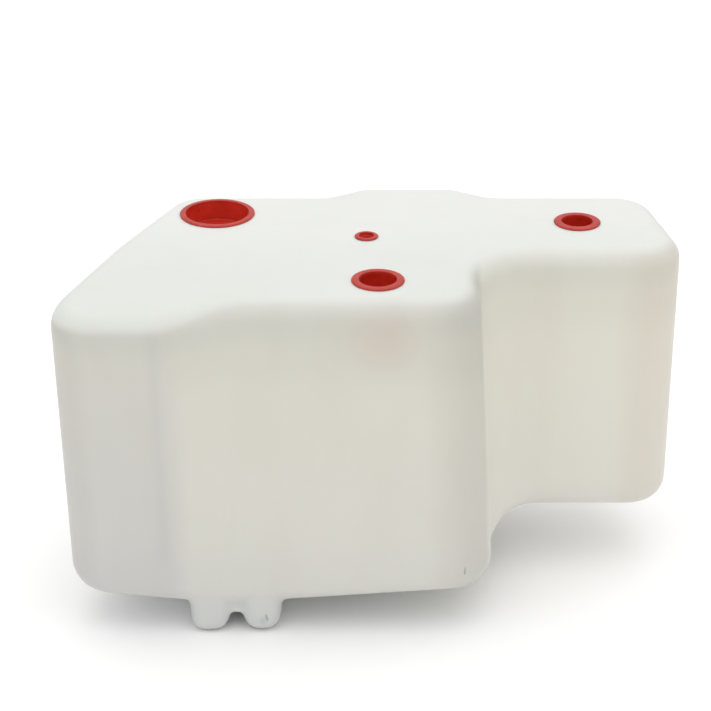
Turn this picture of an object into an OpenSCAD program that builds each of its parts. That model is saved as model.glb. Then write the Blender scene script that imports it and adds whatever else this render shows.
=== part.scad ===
// Fresh water tank of a food truck: a one-piece rotationally moulded shell with four
// threaded port inserts in its top, each closed by a push-in flanged transport plug.
// Millimetres, +Z up. The origin is under the middle of the tank, level with the lowest
// point of its sump. The long step-shaped front faces -Y.

/* [Tank body] */
// Overall length of the tank
tank_l = 644; // [540:1:780]
// Depth of the deep left block, from its front wall to the rear wall
block_w = 302; // [250:1:360]
// Height of the top above the lowest line of the floor
body_h = 355; // [290:1:430]
// Wall thickness
wall = 5.5; // [4:0.5:8]
// Rounding of the edge all round the top
top_edge_r = 23; // [16:1:28]
// Rounding of the edge all round the floor
edge_r = 25; // [18:1:30]
// Radius of the upright outside corners
corner_r = 44; // [34:1:50]
// Radius of the upright inside corners
fillet_r = 62; // [40:1:80]

/* [Shape of the outline] */
// How far the left front bulges forward at the top
bulge_d = 36; // [20:1:50]
// Length of the bulge along the front, from the left wall
bulge_l = 108; // [90:1:130]
// Length over which the bulge runs back to the front wall
bulge_run = 66; // [50:1:90]
// Radius of the upright edge where the bulge ends
bulge_r = 30; // [20:1:44]
// Distance from the right wall to the step in the front
step_l = 199; // [170:1:230]
// How far the right block is set back behind the front wall
step_d = 128; // [90:1:150]
// How much the deep block's right wall leans in towards the top
step_draft = 18; // [0:1:24]
// How much the front walls lean back towards the top
front_draft = 5; // [0:1:10]
// How much the left wall leans in towards the rear
left_lean = 105; // [80:1:120]
// How much the right wall leans in towards the rear
right_lean = 22; // [5:1:35]
// How far the rear wall bulges out
rear_d = 26; // [12:1:32]
// Distance from the right wall to the middle of the rear bulge
rear_x = 285; // [260:1:310]
// Length of the rear bulge at its crest
rear_l = 107; // [70:1:120]
// Length over which each side of the rear bulge runs out
rear_run = 38; // [34:1:60]
// Radius of the upright edges of the rear bulge
rear_r = 34; // [20:1:44]

/* [Floor] */
// Height of the right block's floor above the lowest line of the floor
right_lift = 47; // [30:1:70]
// Radius of the hollow where the right block's floor turns down to the deep block
step_r = 43; // [34:1:60]
// Rise of the floor from its lowest line to the step
step_rise = 20; // [8:1:26]
// Rise of the floor from its lowest line to the left wall
left_rise = 17; // [4:1:24]

/* [Sump] */
// Distance from the left wall to the middle of the sump
sump_x = 173; // [160:1:190]
// Width across both lobes of the sump
sump_l = 96; // [84:1:110]
// Length of the sump from front to back
sump_w = 120; // [80:1:150]
// How far the sump hangs below the floor
sump_h = 30; // [26:1:40]
// Rounding of the sump's edges
sump_r = 12; // [8:1:14]
// Width of the groove between the two lobes
groove_l = 16; // [12:1:22]
// Height of the groove
groove_h = 22; // [12:1:24]

/* [Filler port, two and a half inch] */
// Distance from the left wall to the filler port
filler_x = 151; // [135:1:165]
// Distance from the rear wall to the filler port
filler_y = 65; // [60:1:80]
// Bore of the filler insert
filler_bore = 72.2; // [60:0.1:76]
// How far the filler plug's flange reaches past its insert
filler_lip = 1.4; // [0.4:0.1:3]

/* [Breather port, half inch] */
// Distance from the right wall to the breather port
breather_x = 332; // [310:1:345]
// Distance from the rear wall to the breather port
breather_y = 129; // [115:1:140]
// Bore of the breather insert
breather_bore = 18.6; // [16:0.1:19]
// How far the breather plug's flange reaches past its insert
breather_lip = 0.2; // [0.2:0.1:3]

/* [Suction port, one and a half inch] */
// Distance from the right wall to the suction port
suction_x = 321; // [300:1:335]
// Distance from the front wall to the suction port
suction_y = 59; // [54:1:70]
// Bore of the suction insert
suction_bore = 44.9; // [38:0.1:46]
// How far the suction plug's flange reaches past its insert
suction_lip = 1.55; // [0.4:0.05:3]

/* [Level sender port, one and a quarter inch] */
// Distance from the right wall to the sender port
sender_x = 106; // [90:1:120]
// Distance from the rear wall to the sender port
sender_y = 89; // [75:1:100]
// Bore of the sender insert
sender_bore = 38.9; // [32:0.1:40]
// How far the sender plug's flange reaches past its insert
sender_lip = 2.55; // [0.4:0.05:3]

/* [Inserts] */
// Wall of an insert's threaded tube
insert_wall = 3; // [2:0.5:4]
// Depth of the large inserts below the top
insert_h = 34; // [28:1:44]
// Depth of the breather insert below the top
small_insert_h = 26; // [22:1:32]
// How far an insert's anchor ring stands out of its tube
anchor_d = 3; // [2:0.5:4]
// Height of an anchor ring
anchor_h = 4; // [3:0.5:6]
// Wall of the moulded boss that holds an insert
boss_wall = 5; // [4:0.5:7]

/* [Plugs] */
// Thickness of a plug's flange
flange_t = 1.8; // [1.4:0.2:3]
// Depth of a large plug's cup below the flange
cup_h = 22; // [14:1:24]
// Depth of the breather plug's cup below the flange
small_cup_h = 15; // [10:1:18]
// Wall of a plug's cup
cup_wall = 1.8; // [1.2:0.1:2.4]
// How much a cup narrows on the radius towards its floor
cup_taper = 1.2; // [0.6:0.1:2]
// Running gap between a plug and its insert, all round
plug_gap = 0.3; // [0.2:0.05:0.5]

/* [Hidden] */
$fn = 96;
// Straight steps in each rounded corner of the outline and in the edge rounding
arc_steps = 6;
edge_steps = 4;
// Heights, from the lowest point of the sump
floor_z = sump_h;
top_z = floor_z + body_h;
right_floor_z = floor_z + right_lift;
// Ends of the tank along X and Y
left_x = -tank_l / 2;
right_x = tank_l / 2;
span_w = block_w + bulge_d + rear_d;
bulge_y = -span_w / 2;
front_y = bulge_y + bulge_d;
rear_y = front_y + block_w;
step_x = right_x - step_l;
crest_x = right_x - rear_x;
groove_x = left_x + sump_x;
// The lowest line of the floor, under the foot of the bulge's run
valley_x = left_x + bulge_l + bulge_run;
// How far the bulge still stands out at the floor
bulge_foot = 3;
// Radius where the left wall starts to lean, and of its slight bend half-way
lean_r = 95;
bow_r = 800;
// The sump's front lies just behind the front wall, and its top inside the body
sump_back = 1;
sump_top = floor_z + edge_r + wall;
// Share of the lean reached half-way along the leaning part of the left wall
left_bow = 0.44;
// Length of the left and the right wall, from the front, that stays square to it
left_square = corner_r + 16;
right_square = corner_r + 4;
// Cutting solids reach this far past what they cut
over = 1;

// Each port: its place on the top, bore, flange lip, insert depth and cup depth
filler_port = [[left_x + filler_x, rear_y - filler_y], filler_bore, filler_lip, insert_h, cup_h];
breather_port = [
    [right_x - breather_x, rear_y - breather_y], breather_bore, breather_lip,
    small_insert_h, small_cup_h
];
suction_port = [
    [right_x - suction_x, front_y + suction_y], suction_bore, suction_lip, insert_h, cup_h
];
sender_port = [[right_x - sender_x, rear_y - sender_y], sender_bore, sender_lip, insert_h, cup_h];
ports = [filler_port, breather_port, suction_port, sender_port];

function port_place(port) = port[0];
function port_bore_r(port) = port[1] / 2;
function port_tube_r(port) = port[1] / 2 + insert_wall;
function port_flange_r(port) = port_tube_r(port) + port[2];
function port_depth(port) = port[3];
function port_cup(port) = port[4];
// Lower faces of the two rings that hold an insert in its boss, below the top
function anchor_places(port) = [-port_depth(port) + anchor_h, -wall - anchor_h - over];

// Unit vector from a to b, and the angle by which the way b turns left from the way a
function way(a, b) = (b - a) / norm(b - a);
function turn(a, b) = atan2(a.x * b.y - a.y * b.x, a * b);

// An outline is a list of points [x, y, nx, ny] with the outward normal at each.
// A corner is [x, y, radius, steps]: an arc, then that many steps along the wall after it.
function corner_arc(before, at, after, r) =
    let (
        from = way([before.x, before.y], [at.x, at.y]),
        to = way([at.x, at.y], [after.x, after.y]),
        angle = turn(from, to),
        side = sign(angle),
        start = [at.x, at.y] - from * r * tan(abs(angle) / 2),
        normal = [from.y, -from.x],
        centre = start - side * r * normal
    )
    [
        for (k = [0 : arc_steps])
            let (a = angle * k / arc_steps,
                 n = [normal.x * cos(a) - normal.y * sin(a), normal.x * sin(a) + normal.y * cos(a)],
                 p = centre + side * r * n)
                [p.x, p.y, n.x, n.y]
    ];

// The points that divide the straight wall between two points of the outline
function wall_points(a, b, steps) =
    [for (k = [1 : 1 : steps - 1]) a + (b - a) * k / steps];

function rounded(corners) =
    let (
        count = len(corners),
        arcs = [
            for (i = [0 : count - 1])
                corner_arc(corners[(i + count - 1) % count], corners[i],
                    corners[(i + 1) % count], corners[i][2])
        ]
    )
    [
        for (i = [0 : count - 1])
            each concat(arcs[i],
                wall_points(arcs[i][arc_steps], arcs[(i + 1) % count][0], corners[i][3]))
    ];

// Outline of the tank from above, from the front left corner round to the left wall, with
// the left front standing out by a given bulge, and the step's wall and the front walls
// drawn in by their share of the draft: none at the floor, 1 at the top
function corners(bulge, share) =
    let (wall_x = step_x - share * step_draft, wall_y = front_y + share * front_draft)
    [
        [left_x, front_y - bulge, corner_r, 1],
        [left_x + bulge_l, front_y - bulge, bulge_r, 1],
        [valley_x, wall_y, fillet_r, 4],
        [wall_x, wall_y, corner_r, 2],
        [wall_x, wall_y + step_d, fillet_r, 2],
        [right_x, wall_y + step_d, corner_r, 1],
        [right_x, front_y + step_d + right_square, corner_r, 2],
        [right_x - right_lean, rear_y, corner_r, 8],
        [crest_x + rear_l / 2 + rear_run, rear_y, rear_r, 1],
        [crest_x + rear_l / 2, rear_y + rear_d, rear_r, 2],
        [crest_x - rear_l / 2, rear_y + rear_d, rear_r, 1],
        [crest_x - rear_l / 2 - rear_run, rear_y, rear_r, 6],
        [left_x + left_lean, rear_y, corner_r, 1],
        [left_x + left_bow * left_lean, (bulge_y + left_square + rear_y) / 2, bow_r, 1],
        [left_x, front_y - bulge + left_square, lean_r, 1]
    ];

// The last corner before the rear half of the outline begins
last_front = 5;
function points_to(list, last) =
    last < 0 ? 0 : arc_steps + list[last][3] + points_to(list, last - 1);

// Height of the floor: it falls from both sides to the valley, and an arc lifts it to the
// right block's floor
function floor_at(x) =
    x < valley_x ? floor_z + left_rise * (valley_x - x) / (valley_x - left_x)
    : let (deep = floor_z + step_rise * (x - valley_x) / (step_x - valley_x),
           run = step_x + step_r - x)
        x < step_x ? deep
        : run <= 0 ? right_floor_z
        : max(floor_z + step_rise, right_floor_z - step_r + sqrt(step_r * step_r - run * run));

// A ring of points drawn in from the outline: at a fixed height, or at a height over the floor
function ring_at(line, inset, z) =
    [for (p = line) [p.x - inset * p[2], p.y - inset * p[3], z]];
function ring_over_floor(line, inset, lift) =
    [
        for (p = line)
            let (x = p.x - inset * p[2]) [x, p.y - inset * p[3], floor_at(x) + lift]
    ];

// Triangles across a ring, between its front half and its rear half, from left to right
function across(ring, front, rear, i, j) =
    let (front_ends = i == len(front) - 1, rear_ends = j == len(rear) - 1)
    front_ends && rear_ends ? []
    : rear_ends || (!front_ends && ring[front[i + 1]].x <= ring[rear[j + 1]].x)
        ? concat([[front[i], rear[j], front[i + 1]]], across(ring, front, rear, i + 1, j))
        : concat([[front[i], rear[j], rear[j + 1]]], across(ring, front, rear, i, j + 1));

// The body with its faces drawn in by a wall thickness, none for the outside
module body_solid(inset) {
    high = rounded(corners(bulge_d, 1));
    low = rounded(corners(bulge_foot, 0));
    top_r = top_edge_r - inset;
    foot_r = edge_r - inset;
    count = len(high);
    rings = concat(
        [
            for (k = [0 : edge_steps])
                let (a = 90 * k / edge_steps)
                    ring_at(high, inset + top_r * (1 - sin(a)), top_z - inset - top_r * (1 - cos(a)))
        ],
        [
            for (k = [0 : edge_steps])
                let (a = 90 * k / edge_steps)
                    ring_over_floor(low, inset + foot_r * (1 - cos(a)), inset + foot_r * (1 - sin(a)))
        ]
    );
    last = len(rings) - 1;
    front = [for (i = [0 : points_to(corners(0, 0), last_front) - 1]) i];
    rear = [for (i = [count - 1 : -1 : len(front)]) i];
    sides = [
        for (k = [0 : last - 1]) for (i = [0 : count - 1])
            let (a = k * count + i, b = k * count + (i + 1) % count)
                each [[a, b, b + count], [a, b + count, a + count]]
    ];
    foot = last * count;
    polyhedron(
        points = [for (ring = rings) each ring],
        faces = concat(
            across(rings[0], front, rear, 0, 0),
            sides,
            [for (t = across(rings[last], front, rear, 0, 0)) [t[2] + foot, t[1] + foot, t[0] + foot]]
        )
    );
}

// The two-lobed sump drawn in by a wall thickness, none for the outside; it reaches up
// into the body
module sump_solid(inset) {
    r = sump_r - inset;
    half_l = sump_l / 2 - sump_r;
    arch_r = groove_l / 2 + inset;
    arch_z = groove_h - groove_l / 2;
    lip_x = groove_l / 2 + sump_r;
    function arc(x, z, radius, from, to) =
        [
            for (k = [0 : arc_steps])
                let (a = from + (to - from) * k / arc_steps) [x + radius * cos(a), z + radius * sin(a)]
        ];
    translate([groove_x, front_y + sump_back + inset, 0])
        rotate([90, 0, 0])
            translate([0, 0, -(sump_w - 2 * inset)])
                linear_extrude(height = sump_w - 2 * inset)
                    polygon(concat(
                        [[-half_l - r, sump_top - inset]],
                        arc(-half_l, sump_r, r, 180, 270),
                        arc(-lip_x, sump_r, r, 270, 360),
                        arc(0, arch_z, arch_r, 180, 0),
                        arc(lip_x, sump_r, r, 180, 270),
                        arc(half_l, sump_r, r, 270, 360),
                        [[half_l + r, sump_top - inset]]
                    ));
}

// The hollow skin of the tank
module skin() {
    difference() {
        union() {
            body_solid(0);
            sump_solid(0);
        }
        body_solid(wall);
        sump_solid(wall);
    }
}

module tank_shell() {
    color("whitesmoke") difference() {
        union() {
            skin();
            for (port = ports)
                translate([port_place(port)[0], port_place(port)[1], top_z - port_depth(port)])
                    cylinder(r = port_tube_r(port) + boss_wall, h = port_depth(port) - wall / 2);
        }
        for (port = ports)
            translate([port_place(port)[0], port_place(port)[1], top_z])
                insert_space(port);
    }
}

// The room that an insert takes up, from the top down
module insert_space(port) {
    tube_r = port_tube_r(port);
    translate([0, 0, -port_depth(port) - over])
        cylinder(r = tube_r, h = port_depth(port) + 2 * over);
    for (z = anchor_places(port))
        translate([0, 0, z]) cylinder(r = tube_r + anchor_d, h = anchor_h);
}

// A threaded tube, flush with the top, with two anchor rings
module insert(port) {
    translate([port_place(port)[0], port_place(port)[1], top_z])
        rotate_extrude() {
            bore_r = port_bore_r(port);
            tube_r = port_tube_r(port);
            depth = port_depth(port);
            polygon(concat(
                [[bore_r, 0], [bore_r, -depth], [tube_r, -depth]],
                [
                    for (z = anchor_places(port))
                        each [
                            [tube_r, z], [tube_r + anchor_d, z],
                            [tube_r + anchor_d, z + anchor_h], [tube_r, z + anchor_h]
                        ]
                ],
                [[tube_r, 0]]
            ));
        }
}

// A tapered cup that hangs in the insert from a flat flange
module plug(port) {
    translate([port_place(port)[0], port_place(port)[1], top_z + plug_gap])
        rotate_extrude() {
            neck_r = port_bore_r(port) - plug_gap;
            foot_r = neck_r - cup_taper;
            depth = port_cup(port);
            polygon([
                [0, -depth],
                [foot_r, -depth],
                [neck_r, 0],
                [port_flange_r(port), 0],
                [port_flange_r(port), flange_t],
                [neck_r - cup_wall, flange_t],
                [foot_r - cup_wall, -depth + cup_wall],
                [0, -depth + cup_wall]
            ]);
        }
}

module filler_insert() { color("white") insert(filler_port); }
module breather_insert() { color("white") insert(breather_port); }
module suction_insert() { color("white") insert(suction_port); }
module sender_insert() { color("white") insert(sender_port); }

module filler_plug() { color("firebrick") plug(filler_port); }
module breather_plug() { color("firebrick") plug(breather_port); }
module suction_plug() { color("firebrick") plug(suction_port); }
module sender_plug() { color("firebrick") plug(sender_port); }

tank_shell();
filler_insert();
breather_insert();
suction_insert();
sender_insert();
filler_plug();
breather_plug();
suction_plug();
sender_plug();
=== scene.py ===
"""Visual model of a food truck's fresh water tank.

A hollow, step-shaped tank moulded in natural polyethylene stands on its two-lobed sump. Four
threaded inserts are moulded into its flat top, and a red push-in plug closes each of them.
Lengths are in metres, +Z is up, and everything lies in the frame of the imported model.
"""

import logging
import math
from collections.abc import Callable, Sequence
from dataclasses import dataclass, field
from enum import Enum

import bmesh
import bpy
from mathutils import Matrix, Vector


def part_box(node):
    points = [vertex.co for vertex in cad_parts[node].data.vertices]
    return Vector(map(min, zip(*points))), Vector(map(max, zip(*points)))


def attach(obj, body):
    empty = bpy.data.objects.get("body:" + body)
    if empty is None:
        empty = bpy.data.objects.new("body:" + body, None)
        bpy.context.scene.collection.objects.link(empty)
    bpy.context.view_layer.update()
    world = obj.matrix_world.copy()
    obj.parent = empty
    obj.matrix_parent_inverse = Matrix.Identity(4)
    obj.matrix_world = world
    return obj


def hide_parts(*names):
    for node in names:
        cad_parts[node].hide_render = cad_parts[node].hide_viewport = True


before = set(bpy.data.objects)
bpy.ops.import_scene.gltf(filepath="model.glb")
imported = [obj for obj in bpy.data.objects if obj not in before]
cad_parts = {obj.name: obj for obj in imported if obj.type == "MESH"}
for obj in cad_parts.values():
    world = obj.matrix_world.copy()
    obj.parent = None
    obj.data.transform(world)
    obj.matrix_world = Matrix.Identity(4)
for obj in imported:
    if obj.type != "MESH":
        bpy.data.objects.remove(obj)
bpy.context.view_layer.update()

log = logging.getLogger("water_tank")

FULL_TURN = 2 * math.pi
QUARTER_TURN = math.pi / 2
MERGE_DISTANCE = 1e-6
UP = Vector((0, 0, 1))


class PortKind(Enum):
    """The four ports in the top, by the names that their nodes start with."""

    FILLER = "filler"
    BREATHER = "breather"
    SUCTION = "suction"
    SENDER = "sender"


# ---------------------------------------------------------------------------------------
# Work on the bench: small steps that every piece is made with
# ---------------------------------------------------------------------------------------


def deselect_all() -> None:
    """Goes back to object mode and leaves nothing selected."""
    if bpy.context.mode != "OBJECT":
        bpy.ops.object.mode_set(mode="OBJECT")
    bpy.ops.object.select_all(action="DESELECT")


def pick(piece: bpy.types.Object) -> None:
    """Makes a piece the only selected and the active object.

    Args:
        piece: The object to work on next.
    """
    deselect_all()
    piece.select_set(True)
    bpy.context.view_layer.objects.active = piece


def edit(piece: bpy.types.Object) -> bmesh.types.BMesh:
    """Opens a piece in edit mode.

    Args:
        piece: The object to open.

    Returns:
        The mesh being edited.
    """
    pick(piece)
    bpy.ops.object.mode_set(mode="EDIT")
    return bmesh.from_edit_mesh(piece.data)


def face_outwards(piece: bpy.types.Object) -> None:
    """Merges a piece's doubled vertices and turns all its faces outwards.

    Args:
        piece: The closed mesh to clean.
    """
    edit(piece)
    bpy.ops.mesh.select_all(action="SELECT")
    bpy.ops.mesh.remove_doubles(threshold=MERGE_DISTANCE)
    bpy.ops.mesh.normals_make_consistent(inside=False)
    bpy.ops.object.mode_set(mode="OBJECT")


def finish_with(piece: bpy.types.Object, kind: str, **settings: object) -> None:
    """Adds one modifier to a piece and applies it.

    Args:
        piece: The object that gets the modifier.
        kind: The modifier's type.
        **settings: Values for the modifier's properties.
    """
    pick(piece)
    modifier = piece.modifiers.new(kind.title(), kind)
    for name, value in settings.items():
        setattr(modifier, name, value)
    bpy.ops.object.modifier_apply(modifier=modifier.name)


def combine(piece: bpy.types.Object, tool: bpy.types.Object, operation: str) -> None:
    """Joins a tool solid to a piece or cuts it away, and removes the tool.

    Args:
        piece: The solid that stays.
        tool: The solid that is used up.
        operation: UNION or DIFFERENCE.
    """
    finish_with(piece, "BOOLEAN", object=tool, operation=operation, solver="MANIFOLD")
    bpy.data.objects.remove(tool, do_unlink=True)


def shade(piece: bpy.types.Object, sharp_from: float) -> None:
    """Shades a piece smooth, with creases at its sharp edges.

    Args:
        piece: The object to shade.
        sharp_from: Angle in degrees from which an edge stays a crease.
    """
    pick(piece)
    bpy.ops.object.shade_smooth_by_angle(angle=math.radians(sharp_from))


def start_loop(name: str, points: Sequence[Vector]) -> bpy.types.Object:
    """Adds a circle and draws its vertices onto the points of a closed line.

    Args:
        name: Name of the new object.
        points: The line's points in order.

    Returns:
        The new object, a closed loop of edges.
    """
    deselect_all()
    bpy.ops.mesh.primitive_circle_add(vertices=len(points), radius=1, fill_type="NOTHING")
    loop = bpy.context.object
    loop.name = name
    for vertex, point in zip(loop.data.vertices, points):
        vertex.co = point
    return loop


def block(name: str, low: Vector, high: Vector) -> bpy.types.Object:
    """Adds a cube and draws its corners out to a box.

    Args:
        name: Name of the new object.
        low: Lowest corner of the box.
        high: Highest corner of the box.

    Returns:
        The new object.
    """
    deselect_all()
    bpy.ops.mesh.primitive_cube_add(size=2)
    cube = bpy.context.object
    cube.name = name
    for vertex in cube.data.vertices:
        vertex.co = Vector(b if side > 0 else a for side, a, b in zip(vertex.co, low, high))
    return cube


def round_profile(
    corners: Sequence[tuple[float, float, float]], steps: int
) -> list[tuple[float, float]]:
    """Rounds the corners of a line in a plane.

    Args:
        corners: The line's corners, each as two coordinates and a radius, 0 for a sharp one.
        steps: Number of straight steps in each rounded corner.

    Returns:
        The points of the rounded line, which keeps its first and last point.
    """
    points = []
    for i, (across, up, radius) in enumerate(corners):
        at = Vector((across, up))
        if radius == 0 or i in (0, len(corners) - 1):
            points.append((across, up))
            continue
        way_in = (at - Vector(corners[i - 1][:2])).normalized()
        way_out = (Vector(corners[i + 1][:2]) - at).normalized()
        points += [tuple(p) for p, _ in arc(at, way_in, way_out, radius, steps)]
    return points


def arc(
    at: Vector, way_in: Vector, way_out: Vector, radius: float, steps: int
) -> list[tuple[Vector, Vector]]:
    """Rounds one corner of a line in a plane.

    Args:
        at: The corner.
        way_in: Direction of the line before the corner, of length 1.
        way_out: Direction of the line after the corner, of length 1.
        radius: Radius of the rounding.
        steps: Number of straight steps in the rounding.

    Returns:
        The points of the arc, each with the normal on the line's right-hand side.
    """
    angle = math.atan2(way_in.x * way_out.y - way_in.y * way_out.x, way_in.dot(way_out))
    side = math.copysign(1, angle)
    normal = Vector((way_in.y, -way_in.x))
    start = at - way_in * radius * math.tan(abs(angle) / 2)
    centre = start - side * radius * normal
    found = []
    for k in range(steps + 1):
        turn = angle * k / steps
        turned = Vector(
            (
                normal.x * math.cos(turn) - normal.y * math.sin(turn),
                normal.x * math.sin(turn) + normal.y * math.cos(turn),
            )
        )
        found.append((centre + side * radius * turned, turned))
    return found


def lathe(
    name: str, profile: Sequence[tuple[float, float]], centre: Vector, steps: int
) -> bpy.types.Object:
    """Spins a profile once round an upright axis.

    Args:
        name: Name of the new object.
        profile: Points as distance from the axis and height above the centre. A profile
            that starts and ends on the axis makes a solid body, any other one a ring.
        centre: The point of the axis that heights are measured from.
        steps: Number of steps in the full turn.

    Returns:
        The new object, closed and with its faces outwards.
    """
    piece = start_loop(name, [centre + Vector((r, 0, z)) for r, z in profile])
    mesh = edit(piece)
    if profile[0][0] == 0 and profile[-1][0] == 0:
        bpy.ops.mesh.select_all(action="DESELECT")
        mesh.verts.ensure_lookup_table()
        ends = {mesh.verts[0], mesh.verts[len(profile) - 1]}
        for edge in mesh.edges:
            edge.select = set(edge.verts) == ends
        bmesh.update_edit_mesh(piece.data)
        bpy.ops.mesh.delete(type="EDGE")
    bpy.ops.mesh.select_all(action="SELECT")
    bpy.ops.mesh.spin(steps=steps, angle=FULL_TURN, center=centre, axis=UP)
    face_outwards(piece)
    return piece


# ---------------------------------------------------------------------------------------
# The tank
# ---------------------------------------------------------------------------------------


@dataclass(frozen=True)
class Corner:
    """One corner of the tank's outline, seen from above.

    Attributes:
        x: Place along the tank's length.
        y: Place along its depth.
        radius: Radius of its rounding.
    """

    x: float
    y: float
    radius: float


class Outline:
    """A closed line of straight walls and round corners, with its outward normals."""

    def __init__(self, corners: Sequence[Corner], steps: int) -> None:
        """Rounds the corners.

        Args:
            corners: The corners in order, anticlockwise from above.
            steps: Number of straight steps in each corner.
        """
        places = [Vector((c.x, c.y)) for c in corners]
        self.points: list[Vector] = []
        self.normals: list[Vector] = []
        for i, corner in enumerate(corners):
            way_in = (places[i] - places[i - 1]).normalized()
            way_out = (places[(i + 1) % len(places)] - places[i]).normalized()
            for point, normal in arc(places[i], way_in, way_out, corner.radius, steps):
                self.points.append(point)
                self.normals.append(normal)

    def ring(self, inset: float, height: Callable[[float], float]) -> list[Vector]:
        """Draws the line in and lifts it.

        Args:
            inset: Distance that the line moves inwards.
            height: Gives the height of a point from its place along the tank's length.

        Returns:
            The points of the ring.
        """
        moved = [p - inset * n for p, n in zip(self.points, self.normals)]
        return [Vector((p.x, p.y, height(p.x))) for p in moved]


@dataclass
class Sump:
    """The two-lobed sump under the deep block.

    Attributes:
        middle: Distance from the left wall to the middle of the sump.
        width: Width across both lobes.
        length: Length from front to back.
        setback: How far the sump's front lies behind the front wall.
        groove: Width of the groove between the lobes, at its top.
        groove_height: Height of the groove.
        flanks: How much wider the groove gets downwards, on its left and on its right.
        draft: How much the left and the right side lean in downwards.
        rounding: Rounding of the left and the right lobe's edges.
    """

    middle: float = 0.1745
    width: float = 0.0985
    length: float = 0.120
    setback: float = 0.001
    groove: float = 0.0080
    groove_height: float = 0.0225
    flanks: tuple[float, float] = (0.0050, 0.0035)
    draft: tuple[float, float] = (0.0005, 0.003)
    rounding: tuple[float, float] = (0.0145, 0.0165)

    def solids(
        self, left: float, front: float, low: float, high: float, inset: float
    ) -> list[bpy.types.Object]:
        """Models the two lobes and the web that joins them over the groove.

        Args:
            left: Place of the tank's left wall.
            front: Place of the tank's front wall.
            low: Height of the lobes' lowest point.
            high: Height inside the body up to which the sump reaches.
            inset: How far every face is drawn in, 0 for the outside.

        Returns:
            The three solids.
        """
        middle = left + self.middle
        near = front + self.setback + inset
        far = front + self.setback + self.length - inset
        half_groove = self.groove / 2 + inset
        half_width = self.width / 2 - inset
        lobes = []
        for side, flank, draft, rounding in zip((-1, 1), self.flanks, self.draft, self.rounding):
            inner, outer = middle + side * half_groove, middle + side * half_width
            lobe = block(
                "lobe",
                Vector((min(inner, outer), near, low + inset)),
                Vector((max(inner, outer), far, high)),
            )
            for vertex in lobe.data.vertices:
                if vertex.co.z > (low + high) / 2:
                    continue
                at_groove = abs(vertex.co.x - inner) < abs(vertex.co.x - outer)
                vertex.co.x += side * (flank if at_groove else -draft)
            edit(lobe)
            bpy.ops.mesh.select_all(action="SELECT")
            bpy.ops.mesh.bevel(offset=rounding - inset / 2, segments=6, affect="EDGES")
            face_outwards(lobe)
            lobes.append(lobe)
        half_web = 2 * half_groove
        web_setback = min(self.rounding) / 2
        web = block(
            "web",
            Vector((middle - half_web, near + web_setback, low + self.groove_height + inset)),
            Vector((middle + half_web, far - web_setback, high)),
        )
        return [*lobes, web]


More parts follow.
